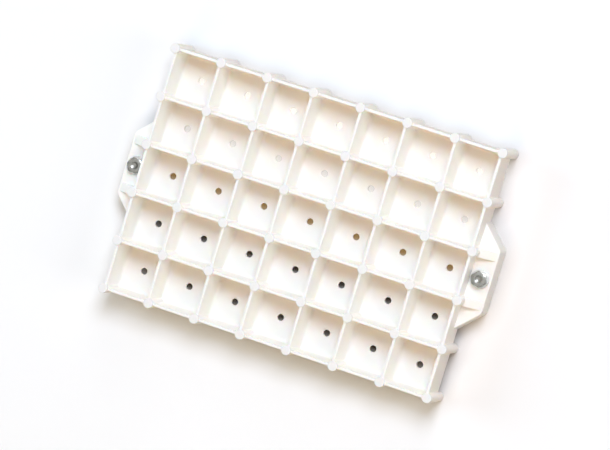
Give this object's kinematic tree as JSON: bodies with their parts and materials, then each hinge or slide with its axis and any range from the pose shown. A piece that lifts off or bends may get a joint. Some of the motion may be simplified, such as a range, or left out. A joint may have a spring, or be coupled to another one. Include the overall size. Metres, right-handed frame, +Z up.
{
  "type": "plug tray",
  "caption": "Rigid white moulded plug tray: square open cells with drain holes between round posts that end in feet, and a bolted lug on each short side.",
  "frame": {"origin": "on the ground plane under the middle of the tray", "axes": "+X along the long side, from lug to lug; +Y along the short side; +Z up, out of the cells"},
  "size_m": [0.2996, 0.1976, 0.037],
  "materials": {
    "white_plastic": "warm white moulded plastic, satin",
    "zinc_steel": "dull zinc plating",
    "nylon": "translucent off-white nylon"
  },
  "bodies": {
    "root": {"floor_plate": "white_plastic", "post_row_1": "white_plastic", "post_row_2": "white_plastic", "post_row_3": "white_plastic", "post_row_4": "white_plastic", "post_row_5": "white_plastic", "post_row_6": "white_plastic", "long_wall_1": "white_plastic", "long_wall_2": "white_plastic", "long_wall_3": "white_plastic", "long_wall_4": "white_plastic", "long_wall_5": "white_plastic", "long_wall_6": "white_plastic", "cross_wall_1": "white_plastic", "cross_wall_2": "white_plastic", "cross_wall_3": "white_plastic", "cross_wall_4": "white_plastic", "cross_wall_5": "white_plastic", "cross_wall_6": "white_plastic", "cross_wall_7": "white_plastic", "cross_wall_8": "white_plastic", "left_lug": "white_plastic", "right_lug": "white_plastic", "left_bolt": "zinc_steel", "right_bolt": "zinc_steel", "left_washer": "zinc_steel", "right_washer": "zinc_steel", "left_locknut": "zinc_steel", "right_locknut": "zinc_steel", "left_nylon_ring": "nylon", "right_nylon_ring": "nylon"}
  },
  "joints": []
}
